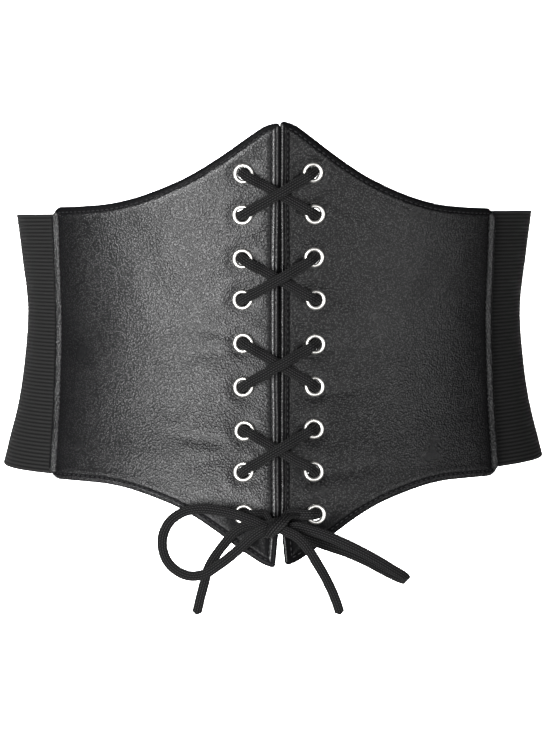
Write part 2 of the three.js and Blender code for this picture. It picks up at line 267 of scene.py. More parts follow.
HALF_LACE = LACE_THICK / 2
OVER_LEATHER = CLEARANCE + HALF_LACE
OVER_RIM = 2 * CLEARANCE + RIM_HEIGHT + HALF_LACE
OVER_LACE = OVER_LEATHER + LACE_THICK + CLEARANCE
BEHIND = -LEATHER - 2 * CLEARANCE - WASHER - HALF_LACE

PULLED_BACK = 1.15 * MM
BEND = table(
    "out height",
    (0.13, 0.62),
    (0.5, 1.13),
    (1.15, 1.08),
)


# %% Seats on the leather
class Seat:
    """A place on the leather's face, and the direction out of it."""

    def __init__(self, x, z):
        angle = angle_at(x, z, LEATHER_FACE)
        self.point = on_figure(angle, z, LEATHER_FACE)
        self.normal = out_of_figure(angle, z, LEATHER_FACE)

    def lifted(self, height):
        return self.point + self.normal * height


def eyelet_seat(side, row):
    aside, above = HAND_SET[side][row - 1]
    return Seat(side * COLUMN_FROM_MIDDLE + aside * MM, TOP_ROW - (row - 1) * ROW_PITCH + above * MM)


# %% Stations of the lace
def bend_stations(seat, towards, rest_height):
    run = towards - seat.point
    run = (run - seat.normal * run.dot(seat.normal)).normalized()
    across = seat.normal.cross(run)
    return [
        (seat.lifted(row["height"] * rest_height) + run * row["out"] * EYELET_RADIUS, across.copy())
        for row in BEND
    ]


def through_eyelet(seat, towards_last, towards_next, from_front):
    incoming = bend_stations(seat, towards_last, OVER_RIM if from_front else BEHIND)[::-1]
    outgoing = bend_stations(seat, towards_next, BEHIND if from_front else OVER_RIM)
    if incoming[0][1].dot(outgoing[0][1]) < 0:
        outgoing = [(point, -across) for point, across in outgoing]
    across = (incoming[0][1] + outgoing[0][1]).normalized()
    in_front = towards_last if from_front else towards_next
    away = seat.normal.cross((seat.point - in_front).cross(seat.normal)).normalized()
    return incoming + [(seat.lifted(-LEATHER / 2) + away * PULLED_BACK, across)] + outgoing


CROSSING_SHARES = (0.26, 0.39, 0.5, 0.61, 0.74)


def crossing(start, end, upper):
    """Stations across the front gap. The upper lace rises over the other one."""
    middle = OVER_LACE if upper else OVER_LEATHER
    shoulder = (OVER_RIM + OVER_LACE) / 2 if upper else OVER_LEATHER
    stations = []
    heights = (shoulder, middle, middle, middle, shoulder)
    for share, height in zip(CROSSING_SHARES, heights):
        at = start.lerp(end, share)
        seat = Seat(at.x, at.z)
        stations.append((seat.lifted(height), seat.normal.cross(end - start).normalized()))
    return stations


# %% The whole lacing, up one way and down the other
KNOT_LENGTH = 9.2 * MM
KNOT_RADIUS = 4.8 * MM
KNOT_DROP = 4.6 * MM
KNOT_ASIDE = 2 * MM
KNOT_ROW = TOP_ROW - (ROWS - 1) * ROW_PITCH
KNOT_CENTRE = Seat(-KNOT_ASIDE, KNOT_ROW - KNOT_DROP).point + Vector((0, -CLEARANCE - KNOT_RADIUS, 0))


def end_at_knot(side):
    x = side * (KNOT_LENGTH / 2 + 2 * CLEARANCE) - KNOT_ASIDE
    return (Seat(x, KNOT_ROW).lifted(OVER_LEATHER), Vector((0, 0, 1)))


def inside_knot(side):
    return (KNOT_CENTRE + Vector((side * 2.4 * MM, 1.6 * MM, 1 * MM)), Vector((0, 0, 1)))


def lace_order():
    up = []
    for row in range(ROWS, 0, -1):
        side = -1 if (ROWS - row) // 2 % 2 == 0 else 1
        up.append((side, row))
    return up + [(-side, row) for side, row in reversed(up)]


def keep_turn(stations):
    """Turns each width to the side of the one before, so that the lace never flips over."""
    kept = [stations[0]]
    for point, across in stations[1:]:
        kept.append((point, across if across.dot(kept[-1][1]) >= 0 else -across))
    return kept


def lacing_stations():
    order = lace_order()
    seats = [eyelet_seat(side, row) for side, row in order]
    ends = [end_at_knot(-1), end_at_knot(1)]
    places = [ends[0][0]] + [seat.point for seat in seats] + [ends[1][0]]
    stations = [ends[0]]
    for i, seat in enumerate(seats):
        from_front = i % 2 == 0
        stations += through_eyelet(seat, places[i], places[i + 2], from_front)
        if not from_front and i < len(seats) - 1:
            left, right = sorted((order[i], order[i + 1]))
            stations += crossing(seat.point, seats[i + 1].point, left[1] > right[1])
    stations = [inside_knot(-1)] + stations + [ends[1], inside_knot(1)]
    return keep_turn(stations)


lacing_route = lacing_stations()
print("lacing", len(lacing_route), "stations")

# %% [markdown]
# ## The bow's free strands
#
# The two loops and the two tails of the bow hang free, so their points are listed one by one: from the
# knot outwards, and round each loop and back. A tail ends as long as it shows. The flat lace lies with
# its width along the leather.

# %% Points of the bow, in millimetres from the frame's origin
BOW_ROUTES = {
    "loop_left": [
        (-3.6, -109.4, -95.4), (-8.1, -109.3, -95), (-11.7, -109.5, -93.2), (-16.7, -109.8, -91.3),
        (-22.2, -108.7, -89.6), (-28.6, -107.3, -88.4), (-36.8, -105.4, -87.8), (-44.6, -103.6, -89.6),
        (-50.6, -102.2, -94), (-53.8, -101.8, -100.3), (-54, -102.3, -106.7), (-51.6, -103.4, -112.7),
        (-46.7, -104.8, -117), (-40.6, -106.2, -118.8), (-34.4, -107.6, -117.5), (-29.1, -108.9, -114),
        (-23.6, -110, -109.7), (-18.1, -111.1, -104.9), (-12.9, -112, -100), (-8.2, -112.4, -96.8),
        (-4.2, -111.4, -95.6),
    ],
    "tail_left": [
        (-3.8, -107.6, -96.6), (-7.7, -106.1, -96.7), (-12.1, -106.7, -95.3), (-16.7, -106.6, -95.9),
        (-20.9, -105.9, -98.5), (-24.6, -105.1, -102.8), (-28.1, -104.7, -107.3), (-31.2, -104.5, -111.8),
        (-33.5, -104.3, -116.7), (-34.9, -104.3, -122.3), (-36.5, -104, -128.3), (-37.6, -103.8, -133),
        (-38.6, -103.6, -137),
    ],
    "loop_right": [
        (-0.6, -109.4, -95.6), (3.5, -109.5, -96.3), (7, -110.6, -95.7), (12.5, -111.9, -96.8),
        (19.3, -112.7, -98.8), (28.4, -113.1, -102.6), (37.1, -112.8, -106.9), (45.4, -111.5, -111.6),
        (51.6, -109.5, -115.6), (56.3, -107, -118.7), (58, -104.2, -120.6), (57, -101.5, -121.3),
        (53.4, -100.3, -120), (48, -101.2, -117.3), (39.6, -103.2, -112.5), (31.6, -104.4, -108.7),
        (23.3, -105.5, -105.7), (15.4, -106.2, -102.9), (9, -106.5, -100.5), (3.5, -106.6, -98.3),
        (-0.6, -108.2, -96.6),
    ],
    "tail_right": [
        (-0.8, -111.4, -95.8), (3, -113.6, -97.6), (6.4, -115.6, -98.9), (10, -117.1, -101.9),
        (13.4, -117.6, -106.4), (16.9, -116.7, -112.3), (20.2, -115, -118.1), (23.2, -113.1, -124.4),
        (25.5, -112.1, -130.1), (26.6, -111.5, -133.4), (27.3, -111.2, -136),
    ],
}


def stations_through(points, start, wide_at):
    """Stations at points in millimetres from a start. wide_at gives the lace's width at a place and run."""
    places = [Vector(point) * MM for point in points]
    stations = []
    for i, place in enumerate(places):
        run = (places[min(i + 1, len(places) - 1)] - places[max(i - 1, 0)]).normalized()
        stations.append((start + place, wide_at(place, run)))
    return keep_turn(stations)


def along_leather(place, run):
    return Vector((0, -1, 0)).cross(run)


# %% [markdown]
# ## A lace from a grid
#
# The real lace is a flat tube of braided polyester. A grid is like that tube slit open: its columns go
# round the lace and its rows go along it. So a grid is added, each of its vertices is put on the lace's
# oval section at its place on the route, and the slit and both ends are closed in edit mode. The grid
# brings its UV map along, and the map is scaled to metres, so that the braid keeps its scale.

# %% Helpers for objects
def only(piece):
    """Selects this piece alone and makes it the active one."""
    bpy.ops.object.select_all(action="DESELECT")
    piece.select_set(True)
    bpy.context.view_layer.objects.active = piece


def add_grid(name, columns, rows):
    """A grid with so many faces each way. Returns it with each vertex's column and row as shares."""
    bpy.ops.object.select_all(action="DESELECT")
    bpy.ops.mesh.primitive_grid_add(x_subdivisions=columns, y_subdivisions=rows, size=1)
    grid = bpy.context.object
    grid.name = grid.data.name = name
    shares = [(vertex.co.x + 0.5, vertex.co.y + 0.5) for vertex in grid.data.vertices]
    return grid, shares


def scale_map(piece, width, height):
    """Stretches the piece's UV map from shares to metres."""
    for corner in piece.data.uv_layers.active.data:
        corner.uv = (corner.uv.x * width, corner.uv.y * height)


def report(piece):
    print(piece.name, len(piece.data.vertices), "vertices", len(piece.data.polygons), "faces")


# %% A smooth route through the stations
LACE_STEP = 1.3 * MM
PARTS_BETWEEN = 10


def smooth_route(stations, step):
    """Points at even steps along a smooth curve through the stations, each with its width."""
    points = [point for point, across in stations]
    points = [2 * points[0] - points[1]] + points + [2 * points[-1] - points[-2]]
    dense = []
    for i in range(len(stations) - 1):
        p0, p1, p2, p3 = points[i:i + 4]
        a, b, c = (math.sqrt((q - p).length) for p, q in ((p0, p1), (p1, p2), (p2, p3)))
        leave = ((p1 - p0) / a - (p2 - p0) / (a + b) + (p2 - p1) / b) * b
        arrive = ((p2 - p1) / b - (p3 - p1) / (b + c) + (p3 - p2) / c) * b
        for k in range(PARTS_BETWEEN):
            t = k / PARTS_BETWEEN
            point = (
                p1 * (2 * t**3 - 3 * t**2 + 1) + leave * (t**3 - 2 * t**2 + t)
                + p2 * (3 * t**2 - 2 * t**3) + arrive * (t**3 - t**2)
            )
            dense.append((point, stations[i][1].lerp(stations[i + 1][1], t)))
    dense.append(stations[-1])
    return even_steps(dense, step)


def even_steps(dense, step):
    along = [0]
    for (last, _), (point, _) in zip(dense, dense[1:]):
        along.append(along[-1] + (point - last).length)
    count = round(along[-1] / step)
    route, i = [], 0
    for k in range(count + 1):
        target = along[-1] * k / count
        while i < len(along) - 2 and along[i + 1] < target:
            i += 1
        share = (target - along[i]) / (along[i + 1] - along[i])
        route.append((dense[i][0].lerp(dense[i + 1][0], share), dense[i][1].lerp(dense[i + 1][1], share)))
    return route, along[-1]


# %% The lace's section and its mesh
LACE_RIBS = 12
POINTS_A_RIB = 6
RIB_DEPTH = 0.3 * MM
UNEVEN_WIDTH = 0.06
UNEVEN_EVERY = 14 * MM
BUNCHED = 0.75
BUNCHED_WITHIN = 2.4 * MM
TIP_ROUNDNESS = 0.96


def lace_section(turn, width, thick):
    """A point on the ribbed oval: how far along the width and how far off it."""
    rib = RIB_DEPTH * (math.cos(LACE_RIBS * turn) - 1) / 2
    return math.cos(turn) * (width / 2 + rib), math.sin(turn) * (thick / 2 + rib)


def end_share(distance, radius):
    """A round end: the lace's share of its size, least at the tip and 1 from a radius inwards."""
    inwards = clamp(1 - distance / radius, 0, 1)
    return math.sqrt(1 - TIP_ROUNDNESS * inwards**2)


def make_lace(name, stations, width=LACE_WIDTH, thick=LACE_THICK, tip=LACE_THICK / 2, holes=()):
    """A lace along its stations. It is bunched up, and so thicker, where it passes through a hole."""
    route, length = smooth_route(stations, LACE_STEP)
    around = LACE_RIBS * POINTS_A_RIB
    lace, shares = add_grid(name, around, len(route) - 1)
    last = len(route) - 1
    frames, bunched = [], []
    for j, (point, across) in enumerate(route):
        run = (route[min(j + 1, last)][0] - route[max(j - 1, 0)][0]).normalized()
        wide = (across - run * across.dot(run)).normalized()
        frames.append((point, wide, run.cross(wide)))
        nearest = min([(point - hole).length for hole in holes], default=1)
        bunched.append(1 + BUNCHED * bell(nearest, BUNCHED_WITHIN))
    for vertex, (share_round, share_along) in zip(lace.data.vertices, shares):
        j = round(share_along * last)
        point, wide, off = frames[j]
        along = share_along * length
        size = end_share(along, tip) * end_share(length - along, tip)
        uneven = 1 + UNEVEN_WIDTH * noise.noise(point / UNEVEN_EVERY)
        x, y = lace_section(share_round * 2 * math.pi, width * uneven, thick * bunched[j])
        vertex.co = point + (wide * x + off * y) * size
    scale_map(lace, math.pi * (width + thick) / 2, length)
    close_tube(lace)
    return lace, [point for point, across in route], length


def close_tube(tube):
    only(tube)
    bpy.ops.object.mode_set(mode="EDIT")
    bpy.ops.mesh.select_all(action="SELECT")
    bpy.ops.mesh.remove_doubles(threshold=0.002 * MM)
    bpy.ops.mesh.fill_holes(sides=0)
    bpy.ops.mesh.select_all(action="SELECT")
    bpy.ops.mesh.normals_make_consistent(inside=False)
    bpy.ops.object.mode_set(mode="OBJECT")
    bpy.ops.object.shade_smooth()
    report(tube)


# %% The laced front
hole_middles = [eyelet_seat(side, row).lifted(-LEATHER / 2) for side, row in lace_order()]
lacing, _, lacing_length = make_lace("laced_front", lacing_route, holes=hole_middles)
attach(lacing, "root")
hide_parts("lacing")
print("lacing", round(lacing_length, 3), "m")

# %% The bow's loops and tails
strands = {}
for strand_name, route in BOW_ROUTES.items():
    stations = stations_through(route, Vector(), along_leather)
    strand, path, measured = make_lace("bow_" + strand_name + "_lace", stations)
    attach(strand, "root")
    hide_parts("bow_" + strand_name)
    strands[strand_name] = strand
    print(strand_name, round(measured, 4), "m")

# %% [markdown]
# ## The knot
#
# Where the bow is tied, one strand passes slanting over the others and squeezes them. Underneath, the
# strands fill a short barrel. The barrel starts from a sphere and is grooved as the lace is. The wrap is
# a stretch of the same lace, a little flatter where it is pulled tight.

# %% The wrap over the knot, in millimetres from the knot's middle
WRAP_ROUTE = [
    (10.4, 2.9, 3.6), (7.4, 1.4, 4.3), (5, -0.9, 4.3), (2.9, -3.6, 3), (0.9, -4.9, 1.2), (-1.1, -5, -0.8),
    (-2.9, -4, -2.9), (-3.9, -1.6, -4.4), (-4, 1, -4.5), (-3, 2.7, -3), (-1, 3.2, -1),
]
WRAP_WIDTH = 5.2 * MM
WRAP_THICK = 1.9 * MM


def round_knot(place, run):
    return run.cross(Vector((0, place.y, place.z)).normalized()).normalized()


wrap_stations = stations_through(WRAP_ROUTE, KNOT_CENTRE, round_knot)
knot, _, _ = make_lace("tied_knot", wrap_stations, WRAP_WIDTH, WRAP_THICK)

# %% The barrel inside the knot
CORE_RADIUS = 3.7 * MM
CORE_HALF_LENGTH = 5.4 * MM
CORE_GROOVES = 9
CORE_GROOVE_SHARE = 0.05

bpy.ops.object.select_all(action="DESELECT")
bpy.ops.mesh.primitive_uv_sphere_add(segments=72, ring_count=32, radius=1)
core = bpy.context.object
for vertex in core.data.vertices:
    turn = math.atan2(vertex.co.z, vertex.co.y)
    groove = 1 + CORE_GROOVE_SHARE * math.cos(CORE_GROOVES * turn + 3 * vertex.co.x)
    size = CORE_RADIUS * groove
    vertex.co = KNOT_CENTRE + Vector(
        (vertex.co.x * CORE_HALF_LENGTH, vertex.co.y * size, vertex.co.z * size)
    )
only(knot)
core.select_set(True)
bpy.ops.object.join()
bpy.ops.object.shade_smooth()
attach(knot, "root")
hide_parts("bow_knot")
report(knot)

# %% [markdown]
# ## The leather panels
#
# Each panel is bonded leather with its edges turned under and sewn down. A grid bent onto the figure
# gives the sheet. Its lines stand close together along the borders, where the turned edge, the stitch
# groove and the soft swelling beside it need them. Solidify then gives the sheet its thickness, and a
# vertex group makes it thinner towards the edge and in the groove, as a sewn edge is.

# %% The panels' outline
PANEL_SIDE_TOP = 49.8 * MM
PANEL_SIDE_BOTTOM = 77.7 * MM
PANEL_UNEVEN = 0.6 * MM
RIGHT_RAISED = 0.7 * MM
REACH = {-1: 106.4 * MM, 1: 103.2 * MM}
FRONT_CORNER = {"width": 1.4 * MM, "height": 1.3 * MM}
SIDE_CORNER = {"width": 6.6 * MM, "height": 3.5 * MM}

EDGES = table(
    "reach rise drop",
    (0, 0.997, 1.01),
    (0.015, 1.002, 1.015),
    (0.03, 0.993, 1),
    (0.06, 0.958, 0.955),
    (0.09, 0.8955, 0.893),
    (0.147, 0.766, 0.771),
    (0.207, 0.63, 0.627),
    (0.27, 0.5, 0.489),
    (0.333, 0.383, 0.364),
    (0.4, 0.285, 0.254),
    (0.467, 0.2015, 0.1725),
    (0.537, 0.13, 0.1025),
    (0.61, 0.0745, 0.047),
    (0.69, 0.035, 0.013),
    (0.775, 0.016, 0.003),
    (0.865, 0.004, 0),
    (1, 0, 0),
)
rise_at = column(EDGES, "reach", "rise")
drop_at = column(EDGES, "reach", "drop")


def corner_cut(distance, corner):
    """How much a round corner takes off the height so far from the end of an edge."""
    inwards = clamp(1 - distance / corner["width"], 0, 1)
    return corner["height"] * (1 - math.sqrt(1 - inwards**2))


SEAM_LEAN = 0.25


def seam_angle(reach, z):
    """The side seam leans out a little where the figure is wider."""
    lean = 1 + SEAM_LEAN * (girth_at(level_of(z)) - 1)
    return angle_at(reach * lean, z, LEATHER_FACE)


def panel_angle(side, reach, z):
    front = angle_at(FRONT_GAP * gap_at(level_of(z)), z, LEATHER_FACE)
    return side * mix(front, seam_angle(REACH[side], z), reach)


# %% Distances along a panel
BORDER_LINES = [0, 0.15, 0.4, 0.75, 1.1, 1.45, 1.8, 2.15, 2.5, 2.85, 3.2, 3.6, 4, 4.5, 5.2, 6.2]
PANEL_STEP = 1.9 * MM
MEASURED_PARTS = 200


class Panel:
    """One panel's measures: how far its front edge lies from any place, and its top and bottom."""

    def __init__(self, side):
        self.side = side
        shares = [k / MEASURED_PARTS for k in range(MEASURED_PARTS + 1)]
        points = [on_figure(panel_angle(side, share, 0), 0, LEATHER_FACE) for share in shares]
        self.runs = [0]
        for last, point in zip(points, points[1:]):
            self.runs.append(self.runs[-1] + (point - last).length)
        self.length = self.runs[-1]

    def reach_at(self, run):
        """The share of the way to the side seam at a distance from the front edge."""
        run = clamp(run, 0, self.length)
        i = 0
        while i < len(self.runs) - 2 and self.runs[i + 1] < run:
            i += 1
        return (i + (run - self.runs[i]) / (self.runs[i + 1] - self.runs[i])) / (len(self.runs) - 1)

    def heights(self, run):
        """The heights of the bottom edge and the top edge at a distance from the front edge."""
        reach = self.reach_at(run)
        longer = -self.side * PANEL_UNEVEN
        cut = corner_cut(run, FRONT_CORNER) + corner_cut(self.length - run, SIDE_CORNER)
        raised = RIGHT_RAISED if self.side > 0 else 0
        top = mix(PANEL_SIDE_TOP + longer, FRONT_PEAK, rise_at(reach)) + raised
        bottom = mix(PANEL_SIDE_BOTTOM, FRONT_POINT, drop_at(reach)) + longer
        return cut - bottom, top - cut

    def slopes(self, run):
        """The cosines of the bottom edge's and the top edge's slope, for distances square to them."""
        step = 1 * MM
        first = self.heights(clamp(run - step, 2 * step, self.length - 4 * step))
        second = self.heights(clamp(run + step, 4 * step, self.length - 2 * step))
        return [math.cos(math.atan2(b - a, 2 * step)) for a, b in zip(first, second)]


def graded(total, first, last, count):
    """Distances from 0 to total: close together at both ends, even between."""
    near = [line * MM * first for line in BORDER_LINES]
    far = [total - line * MM * last for line in reversed(BORDER_LINES)]
    even = [mix(near[-1], far[0], k / count) for k in range(1, count)]
    return near + even + far


panels = {side: Panel(side) for side in (-1, 1)}
for side, panel in panels.items():
    print("panel", side, "is", round(panel.length / MM, 1), "mm wide")

# %% [markdown]
# ## Relief of the leather
#
# Leather that is laced tight isn't smooth. It dips round each eyelet, it is a little uneven all over,
# and a few soft creases run out from the eyelets. Each crease is a row of a table: where it lies, how it
# runs, how long and wide it is, and how deep.

# %% Creases, dips and unevenness
CREASES = table(
    "side x z slant length width depth",
    (-1, 27, -8, 10, 16, 2.6, 0.5),
    (-1, 30, -17, -6, 14, 3, 0.45),
    (-1, 24, -1, 24, 10, 2.4, 0.35),
    (-1, 33, -58, 8, 18, 3, 0.5),
    (-1, 28, -66, -10, 13, 2.4, 0.4),
    (-1, 26, 37, 14, 12, 2.6, 0.35),
    (-1, 58, 20, 70, 26, 7, 0.4),
    (1, 26, 4, -12, 14, 2.6, 0.4),
    (1, 29, -35, 8, 16, 3, 0.4),
    (1, 25, 46, -20, 12, 2.6, 0.35),
    (1, 30, -72, 12, 14, 3, 0.4),
    (1, 70, 6, 78, 30, 9, 0.4),
)
DIP_DEPTH = 0.45 * MM
DIP_WIDTH = 2 * MM
SWELL_HEIGHT = 0.16 * MM
SWELL_FROM = 9 * MM
SWELL_WIDTH = 2.6 * MM
UNEVEN = table(
    "scale height seed",
    (34 * MM, 0.5 * MM, 3),
    (12 * MM, 0.16 * MM, 11),
    (5 * MM, 0.045 * MM, 23),
)


EYELET_PLACES = {
    side: [
        (abs(seat.point.x), seat.point.z) for seat in (eyelet_seat(side, row) for row in range(1, ROWS + 1))
    ]
    for side in (-1, 1)
}


def relief(side, x, z):
    """How far the leather stands off its plain shape, at a distance x from the middle."""
    height = 0
    from_eyelet = min(math.hypot(x - seat_x, z - seat_z) for seat_x, seat_z in EYELET_PLACES[side])
    height -= DIP_DEPTH * bell(max(from_eyelet - EYELET_RADIUS, 0), DIP_WIDTH)
    height += SWELL_HEIGHT * bell(from_eyelet - SWELL_FROM, SWELL_WIDTH)
    for crease in CREASES:
        if crease["side"] != side:
            continue
        aside, above = x - crease["x"] * MM, z - crease["z"] * MM
        slant = math.radians(crease["slant"])
        along = aside * math.cos(slant) + above * math.sin(slant)
        off = above * math.cos(slant) - aside * math.sin(slant)
        shape = bell(along, crease["length"] * MM) * bell(off, crease["width"] * MM)
        height -= crease["depth"] * MM * shape
    for layer in UNEVEN:
        spot = Vector((x / layer["scale"], side * layer["seed"], z / layer["scale"]))
        height += layer["height"] * noise.noise(spot)
    return height


# %% [markdown]
# ## Turned edges
#
# Leather that is turned under makes a roll, then the sewing pulls a groove, and beyond it the leather
# swells. Tables give both, by the distance from the edge in millimetres: how full the leather is, and its
# painted sheen, which raises or lowers the reflection to paint the highlights and shade that the light
# gives the roll, the groove and the swelling. So the painted sheen differs from edge to edge and between
# the two panels, and where it is low the grain is drawn flatter. The side edge is wider than the others
# and lies down on the elastic.

# %% The turned edges
TURNED_EDGE = table(
    "from_edge full full_beside",
    (0, 0.08, 0.5),
    (0.35, 0.28, 1.05),
    (1, 0.56, 0.98),
    (1.6, 0.78, 0.8),
    (2.05, 0.88, 0.66),
    (2.3, 0.76, 0.5),
    (2.6, 0.6, 0.42),
    (3, 0.86, 0.62),
    (3.6, 1.14, 0.86),
    (4.6, 1.24, 1),
    (6.4, 1.12, 1),
    (10, 1, 1),
)
# Painted sheen of the turned edges, one column each for the left panel's top, the right panel's top, the
# bottoms and the side edges: painted highlights where the light falls and painted shade where it doesn't.
TURNED_PAINTED_SHEEN = table(
    "from_edge left right bottom beside",
    (0, -0.8, -0.85, -0.45, 0.5),
    (0.35, -0.86, -0.88, 0.1, 0.9),
    (1, -0.92, -0.88, 0.1, 0.9),
    (1.6, -0.94, -0.88, 0, 0.9),
    (2.05, -0.97, -0.9, -0.6, 0.7),
    (2.3, -1, -1, -1, -0.6),
    (2.6, -0.95, -1, -1, -1),
    (3, -0.1, -0.6, -0.5, -0.6),
    (3.6, 0.55, -0.1, 0, -0.2),
    (4.6, 0.4, 0, 0, -0.1),
    (6.4, 0, 0, 0, 0),
)
# The left and right columns are the painted sheen of each panel's front edge: painted highlights on the
# strips that face the light, painted shade in the grooves.
FRONT_EDGE = table(
    "from_edge full left right",
    (0, 0.05, -1, -1),
    (0.3, 0.26, -1, -1),
    (0.6, 0.52, -0.9, -0.5),
    (0.85, 0.72, -0.6, 3),
    (1.1, 0.8, -0.2, 3.5),
    (1.4, 0.7, -0.2, -0.2),
    (1.8, 0.4, -1, -1),
    (2.15, 0.64, -0.7, -0.5),
    (2.65, 1, 1.8, -0.5),
    (3.15, 0.82, 1.4, -0.8),
    (3.65, 0.4, -1, -1),
    (4.1, 0.76, -0.8, -0.7),
    (5, 1.1, -0.3, -0.3),
    (6.6, 1.12, 0, -0.1),
    (10, 1, 0, 0),
)
FULLEST = 1.24
turned_full = column(TURNED_EDGE, "from_edge", "full")
front_full = column(FRONT_EDGE, "from_edge", "full")
beside_full = column(TURNED_EDGE, "from_edge", "full_beside")
top_painted_sheen, front_painted_sheen = (
    {-1: column(table, "from_edge", "left"), 1: column(table, "from_edge", "right")}
    for table in (TURNED_PAINTED_SHEEN, FRONT_EDGE)
)
bottom_painted_sheen = column(TURNED_PAINTED_SHEEN, "from_edge", "bottom")
beside_painted_sheen = column(TURNED_PAINTED_SHEEN, "from_edge", "beside")
BESIDE_WIDER = 1.6
CORNER_THIN = 0.08
CORNER_RISE = 0.4
# Painted shade: the leather reflects less towards the side seam and at the panels' lower points, below the
# knot.
PAINTED_SHADE_BESIDE = {"shine": -0.5, "within": 15 * MM}
PAINTED_SHADE_POINT = {"shine": -0.75, "from": 84 * MM, "over": 10 * MM}
OVER_ELASTIC = 0.3 * MM
LIES_DOWN_WITHIN = 8 * MM
RELIEF_FADES_WITHIN = 6 * MM


def border_distances(panel, run, z):
    """Distances to the front edge, the side edge, the top and the bottom. The side edge is the wide one."""
    bottom, top = panel.heights(run)
    bottom_cosine, top_cosine = panel.slopes(run)
    beside = (panel.length - run) / BESIDE_WIDER
    return run, beside, (top - z) * top_cosine, (z - bottom) * bottom_cosine


def fullness(distances):
    """The share of the full thickness that the leather has here."""
    front, beside, *levels = distances
    level = min(levels)
    if front < min(beside, level):
        return front_full(front / MM)
    if beside < level:
        return min(beside_full(beside / MM), CORNER_THIN + CORNER_RISE * level / MM)
    return turned_full(level / MM)


def shine_at(panel, run, z):
    """Painted sheen: how much more or less than plain leather a place reflects, to paint its highlights and
    shade. At -1 it doesn't.
    """
    painted_sheens = (front_painted_sheen[panel.side], beside_painted_sheen, top_painted_sheen[panel.side], bottom_painted_sheen)
    places = zip(border_distances(panel, run, z), painted_sheens)
    distance, shine = min(places, key=lambda place: place[0])
    painted_shade_beside = PAINTED_SHADE_BESIDE["shine"] * clamp(1 - (panel.length - run) / PAINTED_SHADE_BESIDE["within"], 0, 1)
    painted_shade_point = PAINTED_SHADE_POINT["shine"] * clamp((-z - PAINTED_SHADE_POINT["from"]) / PAINTED_SHADE_POINT["over"], 0, 1)
    return max(shine(distance / MM) + painted_shade_beside + painted_shade_point, -1)


def sheet_point(panel, run, z):
    """The middle of the leather's thickness, the direction out of it, and its share of thickness."""
    distances = border_distances(panel, run, z)
    full = fullness(distances)
    grown = CLEARANCE + LEATHER / 2
    lies_down = clamp(1 - distances[1] * BESIDE_WIDER / LIES_DOWN_WITHIN, 0, 1)
    lies_down = lies_down**2 * (3 - 2 * lies_down)
    grown = mix(grown, OVER_ELASTIC + full * LEATHER / 2, lies_down)
    angle = panel_angle(panel.side, panel.reach_at(run), z)
    plain = on_figure(angle, z, grown)
    normal = out_of_figure(angle, z, grown)
    fade = clamp(min(distances) / RELIEF_FADES_WITHIN, 0, 1)
    return plain + normal * relief(panel.side, abs(plain.x), z) * fade, normal, full


# %% The panels' sheets
PANEL_NAMES = {-1: "left", 1: "right"}
EVEN_ROWS = 100


def bent_sheet(panel):
    name = "leather_panel_" + PANEL_NAMES[panel.side]
    even_columns = round((panel.length - 2 * BORDER_LINES[-1] * MM) / PANEL_STEP)
    columns = graded(panel.length, 1, BESIDE_WIDER, even_columns)
    rows = 2 * len(BORDER_LINES) + EVEN_ROWS - 1
    sheet, shares = add_grid(name, len(columns) - 1, rows - 1)
    heights = []
    for run in columns:
        bottom, top = panel.heights(run)
        bottom_cosine, top_cosine = panel.slopes(run)
        lines = graded(top - bottom, 1 / bottom_cosine, 1 / top_cosine, EVEN_ROWS)
        heights.append([bottom + line for line in lines])
    thick = sheet.vertex_groups.new(name="thickness")
    painted_sheens = []
    for vertex, (share_across, share_up) in zip(sheet.data.vertices, shares):
        i = round(share_across * (len(columns) - 1))
        j = round(share_up * (rows - 1))
        vertex.co, _, full = sheet_point(panel, columns[i], heights[i][j])
        thick.add([vertex.index], full / FULLEST, "REPLACE")
        painted_sheens.append(shine_at(panel, columns[i], heights[i][j]))
    sheet.data.attributes.new("shine", "FLOAT", "POINT").data.foreach_set("value", painted_sheens)
    return sheet


def face_out(piece):
    """Turns an open sheet's faces so that they point away from the figure's middle."""
    outwards = [face.normal.dot(face.center * Vector((1, 1, 0))) for face in piece.data.polygons]
    if sum(outwards) < 0:
        only(piece)
        bpy.ops.object.mode_set(mode="EDIT")
        bpy.ops.mesh.select_all(action="SELECT")
        bpy.ops.mesh.flip_normals()
        bpy.ops.object.mode_set(mode="OBJECT")


sheets = {side: bent_sheet(panel) for side, panel in panels.items()}
for sheet in sheets.values():
    face_out(sheet)
    report(sheet)

# %% [markdown]
# ## Thickness and eyelet holes
#
# Solidify turns each sheet into a wall and reads the vertex group for its thickness. The holes are
# punched last, as a maker does: one cutter of nine cylinders goes through each panel with a Boolean.

# %% Walls and punched holes
HOLE_RADIUS = EYELET_HOLE + BARREL_WALL + CLEARANCE
PUNCH_SIDES = 32


def apply_modifier(piece, kind, **settings):
    only(piece)
    modifier = piece.modifiers.new(kind.lower(), kind)
    for setting, value in settings.items():
        setattr(modifier, setting, value)
    bpy.ops.object.modifier_apply(modifier=modifier.name)


def punches(side):
    made = []
    for row in range(1, ROWS + 1):
        seat = eyelet_seat(side, row)
        bpy.ops.object.select_all(action="DESELECT")
        bpy.ops.mesh.primitive_cylinder_add(
            vertices=PUNCH_SIDES, radius=HOLE_RADIUS, depth=5 * LEATHER, location=seat.point,
            rotation=seat.normal.to_track_quat("Z", "Y").to_euler(),
        )
        made.append(bpy.context.object)
    for punch in made:
        punch.select_set(True)
    bpy.context.view_layer.objects.active = made[0]
    bpy.ops.object.join()
    return made[0]


